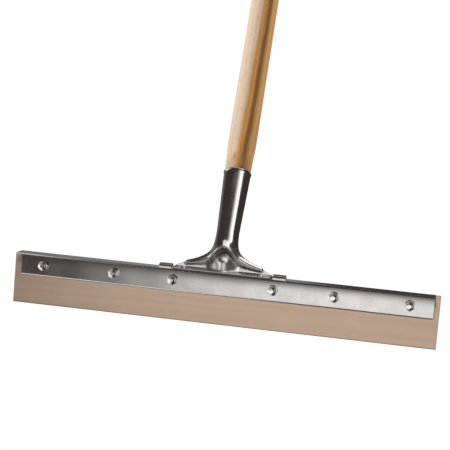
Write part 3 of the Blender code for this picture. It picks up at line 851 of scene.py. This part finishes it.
# ======== materials
class Nodes:
    """Short ways to add and join nodes in one node tree."""

    def __init__(self, tree):
        self.tree = tree

    def feed(self, node, inputs):
        """Link or set a node's inputs, each by its name or number."""
        for key, value in inputs.items():
            if isinstance(value, bpy.types.NodeSocket):
                self.tree.links.new(value, node.inputs[key])
            else:
                node.inputs[key].default_value = value

    def add(self, kind, inputs=None, **settings):
        """A new shader node, with its inputs fed and its settings set."""
        node = self.tree.nodes.new("ShaderNode" + kind)
        for name, value in settings.items():
            setattr(node, name, value)
        self.feed(node, inputs or {})
        return node

    def math(self, operation, a, b=0.0):
        return self.add("Math", {0: a, 1: b}, operation=operation).outputs[0]

    def times(self, a, b):
        return self.math("MULTIPLY", a, b)

    def step(self, value, low, high, to_low=0.0, to_high=1.0):
        """A smooth step of value from to_low at low to to_high at high."""
        inputs = {"Value": value, "From Min": low, "From Max": high, "To Min": to_low, "To Max": to_high}
        return self.add("MapRange", inputs, interpolation_type="SMOOTHSTEP").outputs["Result"]

    def mix(self, factor, first, second):
        """A mix of two colours, the first one where the factor is 0."""
        return self.add("Mix", {0: factor, 6: first, 7: second}, data_type="RGBA").outputs[2]

    def noise(self, where, scale, detail=3.0, roughness=0.5):
        inputs = {"Vector": where, "Scale": scale, "Detail": detail, "Roughness": roughness}
        return self.add("TexNoise", inputs).outputs["Fac"]

    def stretched(self, where, scale):
        return self.add("Mapping", {"Vector": where, "Scale": scale}).outputs["Vector"]

    def bump(self, height, strength, distance, normal=None):
        inputs = {"Height": height, "Strength": strength, "Distance": distance}
        if normal is not None:
            inputs["Normal"] = normal
        return self.add("Bump", inputs).outputs["Normal"]

    def openness(self, distance):
        """1 on open surfaces, falling towards 0 in corners narrower than the distance."""
        return self.add("AmbientOcclusion", {"Distance": distance}).outputs["AO"]


def new_material(name):
    """A material with its Principled shader, its node helper and the place on the object in metres."""
    mat = bpy.data.materials.new(name)
    mat.use_nodes = True
    nodes = Nodes(mat.node_tree)
    shader = mat.node_tree.nodes["Principled BSDF"]
    place = nodes.add("TexCoord").outputs["Object"]
    return mat, nodes, shader, place


# The plating is duller where the sheet is drawn into the tube's foot, and on the flat base
DULL_HEIGHTS = ((FOOT_Z + 25.0) * MM, (FOOT_Z + 32.0) * MM)
DULL_SIDES = (14.0 * MM, 20.0 * MM)
BASE_HEIGHTS = ((FOOT_Z + 1.4) * MM, (FOOT_Z + 2.4) * MM)


def plated_steel():
    """Bright plating on pressed steel: soft waves, faint smears and scratches, and painted shade darkening
    its creases.
    """
    mat, nodes, shader, place = new_material("plated_steel")
    bright = (0.66, 0.645, 0.64, 1)
    smeared = (0.6, 0.58, 0.57, 1)
    painted_crease_shade = (0.07, 0.06, 0.055, 1)
    smears = nodes.noise(place, 60.0, 4.0, 0.6)
    scratches = nodes.noise(nodes.stretched(place, (900.0, 120.0, 90.0)), 1.0, 2.0)
    waves = nodes.noise(place, 90.0, 2.0)
    colour = nodes.mix(nodes.step(smears, 0.35, 0.7), bright, smeared)
    # painted shade: the plating turns dark in creases and narrow corners, where shade falls
    colour = nodes.mix(nodes.step(nodes.openness(0.007), 0.28, 0.68), painted_crease_shade, colour)
    rough = nodes.step(smears, 0.3, 0.75, 0.1, 0.17)
    rough = nodes.math("ADD", rough, nodes.step(scratches, 0.55, 0.8, 0.0, 0.06))
    split = nodes.add("SeparateXYZ", {"Vector": place})
    side = nodes.math("ABSOLUTE", split.outputs["X"])
    drawn = nodes.step(split.outputs["Z"], *DULL_HEIGHTS, 0.2, 0.0)
    drawn = nodes.times(drawn, nodes.step(side, *DULL_SIDES, 1.0, 0.35))
    dull = nodes.math("MAXIMUM", drawn, nodes.step(split.outputs["Z"], *BASE_HEIGHTS, 0.16, 0.0))
    soft = nodes.bump(waves, 0.12, 0.0006)
    nodes.feed(shader, {"Metallic": 1.0, "Base Color": colour, "Roughness": nodes.math("ADD", rough, dull),
                        "Normal": nodes.bump(scratches, 0.03, 0.00003, soft)})
    return mat


def satin_steel():
    """Zinc-plated rolled sheet: satin, with rolling lines along X and a slightly mottled plating."""
    mat, nodes, shader, place = new_material("satin_steel")
    light_zinc = (0.64, 0.62, 0.605, 1)
    grey_zinc = (0.58, 0.56, 0.55, 1)
    rolling = nodes.noise(nodes.stretched(place, (6.0, 700.0, 700.0)), 1.0, 3.0)
    mottle = nodes.noise(place, 45.0, 5.0, 0.6)
    waves = nodes.noise(nodes.stretched(place, (8.0, 30.0, 30.0)), 1.0, 1.0)
    colour = nodes.mix(nodes.step(mottle, 0.35, 0.7), light_zinc, grey_zinc)
    rough = nodes.step(mottle, 0.3, 0.75, 0.13, 0.17)
    rough = nodes.math("ADD", rough, nodes.step(rolling, 0.5, 0.8, 0.0, 0.05))
    soft = nodes.bump(waves, 0.2, 0.002)
    nodes.feed(shader, {"Metallic": 1.0, "Base Color": colour, "Roughness": rough,
                        "Normal": nodes.bump(rolling, 0.1, 0.00008, soft)})
    return mat


def fastener_steel():
    """Bright zinc on the fasteners, rougher and greyer in patches, with painted shade darkening its corners.
    """
    mat, nodes, shader, place = new_material("zinc_steel")
    bright_zinc = (0.84, 0.82, 0.79, 1)
    grey_zinc = (0.7, 0.68, 0.65, 1)
    # painted shade: the colour that fills the fasteners' corners
    corner = (0.09, 0.08, 0.075, 1)
    patches = nodes.noise(place, 350.0, 4.0, 0.6)
    colour = nodes.mix(nodes.step(patches, 0.4, 0.65), bright_zinc, grey_zinc)
    # painted shade: the zinc turns dark in narrow corners, where shade falls
    colour = nodes.mix(nodes.step(nodes.openness(0.006), 0.42, 0.9), corner, colour)
    nodes.feed(shader, {"Metallic": 1.0, "Base Color": colour,
                        "Roughness": nodes.step(patches, 0.3, 0.7, 0.12, 0.22),
                        "Normal": nodes.bump(patches, 0.15, 0.0001)})
    return mat


def gum_rubber():
    """Tan gum rubber: matt, faintly streaked along its length, with a chalky bloom and fine specks."""
    mat, nodes, shader, place = new_material("natural_rubber")
    tan = (0.275, 0.196, 0.143, 1)
    light_tan = (0.3, 0.217, 0.159, 1)
    chalk = (0.335, 0.25, 0.19, 1)
    speck = (0.19, 0.13, 0.09, 1)
    painted_contact_shadow = (0.07, 0.05, 0.04, 1)
    streaks = nodes.noise(nodes.stretched(place, (4.0, 160.0, 160.0)), 1.0, 4.0, 0.55)
    bloom = nodes.noise(place, 22.0, 5.0, 0.62)
    specks = nodes.noise(place, 1500.0, 2.0)
    base = nodes.mix(nodes.step(streaks, 0.3, 0.7), tan, light_tan)
    base = nodes.mix(nodes.step(bloom, 0.45, 0.8, 0.0, 0.3), base, chalk)
    base = nodes.mix(nodes.step(specks, 0.62, 0.75, 0.0, 0.2), base, speck)
    # painted contact shadow: the rubber turns dark in the narrow gaps against the steel
    base = nodes.mix(nodes.step(nodes.openness(0.0022), 0.45, 0.95), painted_contact_shadow, base)
    lines = nodes.bump(streaks, 0.15, 0.0003)
    nodes.feed(shader, {"Base Color": base, "Roughness": nodes.step(bloom, 0.3, 0.8, 0.5, 0.68),
                        "Specular IOR Level": 0.3, "Normal": nodes.bump(specks, 0.12, 0.00008, lines)})
    return mat


def handle_wood():
    """Clear-finished hardwood: pale sapwood into darker heartwood, fine streaks, pores and one small knot."""
    mat, nodes, shader, place = new_material("waxed_wood")
    sapwood = (0.54, 0.42, 0.31, 1)
    heartwood = (0.62, 0.31, 0.08, 1)
    painted_rim_light_gold = (0.74, 0.43, 0.18, 1)
    dark_streak_and_core_shade = (0.21, 0.075, 0.012, 1)
    rim_brown = (0.36, 0.19, 0.085, 1)
    sapwood_shade = (0.46, 0.31, 0.2, 1)
    heartwood_shade = (0.3, 0.125, 0.035, 1)
    pale_streak = (0.6, 0.4, 0.22, 1)
    pore = (0.16, 0.07, 0.025, 1)
    knot_brown = (0.26, 0.11, 0.055, 1)
    knot_place = (-0.0042, -0.0145, 0.0145)
    rim = Vector(slope_place(0.0, RIM_V, AXIS_RISE)) * MM
    along = nodes.add("Mapping", {"Vector": place, "Location": rim, "Rotation": (-LEAN, 0.0, 0.0)},
                      vector_type="TEXTURE")
    local = along.outputs["Vector"]
    split = nodes.add("SeparateXYZ", {"Vector": local})
    wander = nodes.noise(nodes.stretched(local, (20.0, 20.0, 7.0)), 1.0, 3.0)
    wander = nodes.times(nodes.math("SUBTRACT", wander, 0.5), 0.012)
    across = nodes.math("ADD", split.outputs["X"], wander)
    streaks = nodes.noise(nodes.stretched(local, (900.0, 900.0, 9.0)), 1.0, 4.0, 0.6)
    broad = nodes.noise(nodes.stretched(local, (260.0, 260.0, 4.0)), 1.0, 3.0)
    pores = nodes.noise(nodes.stretched(local, (2600.0, 2600.0, 130.0)), 1.0, 2.0)
    heart = nodes.step(across, -0.004, 0.001)
    # a dark grain streak right of the middle, which also serves as painted core shade where the light from
    # the left falls off
    dark = nodes.times(nodes.step(across, 0.0038, 0.0068), nodes.step(across, 0.0115, 0.0085))
    base = nodes.mix(heart, sapwood, heartwood)
    # painted rim light: a lighter golden band down the handle's right side stands in for light from behind on
    # the right
    base = nodes.mix(nodes.step(across, 0.009, 0.0135, 0.0, 0.8), base, painted_rim_light_gold)
    base = nodes.mix(nodes.times(dark, 0.85), base, dark_streak_and_core_shade)
    base = nodes.mix(nodes.step(split.outputs["Z"], 0.024, 0.006, 0.0, 0.4), base, rim_brown)
    shade = nodes.mix(heart, sapwood_shade, heartwood_shade)
    base = nodes.mix(nodes.step(broad, 0.45, 0.65, 0.0, 0.5), base, shade)
    base = nodes.mix(nodes.step(streaks, 0.5, 0.68, 0.0, 0.5), base, shade)
    base = nodes.mix(nodes.step(streaks, 0.46, 0.33, 0.0, 0.25), base, pale_streak)
    base = nodes.mix(nodes.step(pores, 0.58, 0.7, 0.0, 0.5), base, pore)
    knot = nodes.add("VectorMath", {0: local, 1: knot_place}, operation="SUBTRACT").outputs[0]
    knot = nodes.stretched(knot, (1.0, 0.3, 0.45))
    knot = nodes.add("VectorMath", {0: knot}, operation="LENGTH").outputs["Value"]
    knot = nodes.math("ADD", knot, nodes.times(streaks, 0.0012))
    base = nodes.mix(nodes.step(knot, 0.0036, 0.0012, 0.0, 0.45), base, knot_brown)
    grain = nodes.bump(streaks, 0.12, 0.0002)
    nodes.feed(shader, {"Base Color": base, "Roughness": nodes.step(pores, 0.4, 0.75, 0.42, 0.6),
                        "Specular IOR Level": 0.2, "Coat Weight": 0.06, "Coat Roughness": 0.3,
                        "Sheen Weight": 0.03, "Sheen Roughness": 0.6,
                        "Normal": nodes.bump(pores, -0.2, 0.0001, grain)})
    return mat


# ======== camera, floor and light
CAMERA_PLACE = (0.1752, -1.1794, 0.2323)
CAMERA_HEADING = math.radians(8.603)  # turned left of straight at the blade
CAMERA_DIP = math.radians(5.845)
CAMERA_ROLL = math.radians(4.934)
CAMERA_LENS = 88.0


def add_camera():
    """The picture's camera, level but for its dip and roll."""
    data = bpy.data.cameras.new("camera")
    data.lens = CAMERA_LENS
    data.sensor_width = 36.0
    data.clip_start = 0.01
    obj = linked_object("camera", data)
    level = Matrix.Rotation(CAMERA_HEADING, 4, "Z") @ Matrix.Rotation(math.pi / 2 - CAMERA_DIP, 4, "X")
    obj.matrix_world = Matrix.Translation(CAMERA_PLACE) @ level @ Matrix.Rotation(CAMERA_ROLL, 4, "Z")
    bpy.context.scene.camera = obj


def add_floor():
    """A large white floor, left out of reflections so that the studio's panels show in the metal instead."""
    reach = 30.0
    mesh = bpy.data.meshes.new("floor")
    corners = [(-reach, -reach, 0.0), (reach, -reach, 0.0), (reach, reach, 0.0), (-reach, reach, 0.0)]
    mesh.from_pydata(corners, [], [(0, 1, 2, 3)])
    floor = linked_object("floor", mesh)
    mat, nodes, shader, _ = new_material("pale_floor")
    nodes.feed(shader, {"Base Color": (0.9, 0.9, 0.9, 1), "Roughness": 0.9, "Specular IOR Level": 0.0,
                        "Emission Color": (1.0, 1.0, 1.0, 1), "Emission Strength": 0.82})
    mesh.materials.append(mat)
    floor.visible_glossy = False


def add_light(name, kind, place, target, watts, lit, **settings):
    """A light that shapes one matt piece; the metal reflects the world's panels instead."""
    data = bpy.data.lights.new(name, kind)
    data.energy = watts
    for key, value in settings.items():
        setattr(data, key, value)
    obj = linked_object(name, data)
    aim = Vector(target) - Vector(place)
    obj.matrix_world = Matrix.Translation(place) @ aim.to_track_quat("-Z", "Y").to_matrix().to_4x4()
    obj.visible_camera = False
    obj.visible_glossy = False
    receivers = bpy.data.collections.new(name + "_lights")
    receivers.objects.link(lit)
    obj.light_linking.receiver_collection = receivers


# The studio's panels, in degrees: turn is round from -Y towards +X, and height is up from level.
# A panel is its turns, its heights and its strength.  Turns and heights are two soft edges, each of them
# (start, end), with the one at the low side first.
RIGHT_OVERHEAD = (((12.0, 36.0), (150.0, 170.0)), ((46.0, 58.0), (88.0, 90.0)), 2.0)
FRONT_STRIP = (((-40.0, -30.0), (66.0, 78.0)), ((15.0, 25.0), (80.0, 90.0)), 1.9)
LOW_FRONT = (((-17.5, -5.5), (38.0, 56.0)), ((-29.0, -6.0), (-1.0, 9.0)), 1.25)
LEFT_WALL = (((-120.0, -95.0), (-36.0, -30.0)), ((-50.0, -40.0), (4.0, 14.0)), 1.4)
LEFT_FLOOR = (((-120.0, -95.0), (-27.0, -19.0)), ((-80.0, -70.0), (-34.0, -25.0)), 1.0)
ROOM_GLOW = (0.055, 0.046, 0.042, 1)  # what glossy rays see between the panels
ROOM_LIGHT = (0.25, 0.25, 0.25, 1)
BACKDROP = (1.0, 1.0, 1.0, 1)


def between(nodes, value, edges):
    """1 between two soft edges and 0 outside them."""
    low_edge, high_edge = edges
    return nodes.times(nodes.step(value, *low_edge), nodes.step(value, *high_edge, 1.0, 0.0))


def panel(nodes, turn, height, shape):
    """The light of one soft-edged panel."""
    turns, heights, strength = shape
    inside = nodes.times(between(nodes, turn, turns), between(nodes, height, heights))
    return nodes.times(inside, strength)


def add_studio():
    """A white room in which glossy rays see only a few panels."""
    world = bpy.data.worlds.new("studio")
    bpy.context.scene.world = world
    world.use_nodes = True
    world.cycles.sampling_method = "NONE"
    nodes = Nodes(world.node_tree)
    towards = nodes.add("SeparateXYZ", {0: nodes.add("TexCoord").outputs["Generated"]})
    x, y, z = (towards.outputs[axis] for axis in "XYZ")
    degrees = math.degrees(1.0)
    height = nodes.times(nodes.math("ARCSINE", z), degrees)
    turn = nodes.times(nodes.math("ARCTAN2", x, nodes.times(y, -1.0)), degrees)
    # The overhead light starts higher up on the left, and the strip brightens towards the right
    lowered = nodes.math("SUBTRACT", height, nodes.step(turn, -40.0, -75.0, 0.0, 26.0))
    overhead = nodes.step(lowered, 47.5, 55.0, 0.0, 1.1)
    strip_rise = nodes.math("POWER", nodes.step(turn, -3.0, 64.0), 1.8)
    strip = nodes.times(panel(nodes, turn, height, FRONT_STRIP), strip_rise)
    floor = nodes.times(nodes.step(height, -60.0, -70.0, 0.0, 1.4), nodes.step(x, -0.1, -0.16))
    back = nodes.step(x, -0.04, -0.095, 0.0, 0.24)
    back = nodes.times(back, nodes.step(x, -0.2, -0.32, 1.0, 0.65))
    back = nodes.times(back, nodes.step(y, 0.2, 0.7))
    back = nodes.times(back, nodes.step(height, 14.0, 26.0, 1.0, 0.0))
    brightest = overhead
    for other in (strip, floor, back):
        brightest = nodes.math("MAXIMUM", brightest, other)
    for shape in (RIGHT_OVERHEAD, LOW_FRONT, LEFT_WALL, LEFT_FLOOR):
        brightest = nodes.math("MAXIMUM", brightest, panel(nodes, turn, height, shape))
    lit = nodes.add("Mix", {0: 1.0, 6: ROOM_GLOW, 7: brightest}, data_type="RGBA", blend_type="ADD")
    ray = nodes.add("LightPath")
    plain = nodes.mix(ray.outputs["Is Camera Ray"], ROOM_LIGHT, BACKDROP)
    seen = nodes.mix(ray.outputs["Is Glossy Ray"], plain, lit.outputs[2])
    nodes.feed(world.node_tree.nodes["Background"], {"Color": seen})


add_camera()
add_floor()
add_studio()
zinc = fastener_steel()
satin = satin_steel()
rubber = make_rubber(gum_rubber())
make_frame_angle(satin)
make_backing_strip(satin)
make_clamps(zinc)
make_socket(plated_steel())
make_rivets(zinc)
make_screw(zinc)
handle = make_handle(handle_wood())
add_light("front_key", "SPOT", (0.12, -1.2, 0.75), (0.11, 0.0, 0.04), 92.0, rubber,
          spot_size=math.radians(36.0), spot_blend=1.0, shadow_soft_size=0.06)
add_light("left_key", "AREA", (-0.72, -0.22, 0.45), (0.0, 0.1, 0.36), 7.8, handle, shape="DISK", size=0.3)
add_light("right_rim", "AREA", (0.7, 0.3, 0.5), (0.0, 0.1, 0.36), 1.6, handle, shape="DISK", size=0.3)
bpy.context.scene.view_settings.view_transform = "Standard"
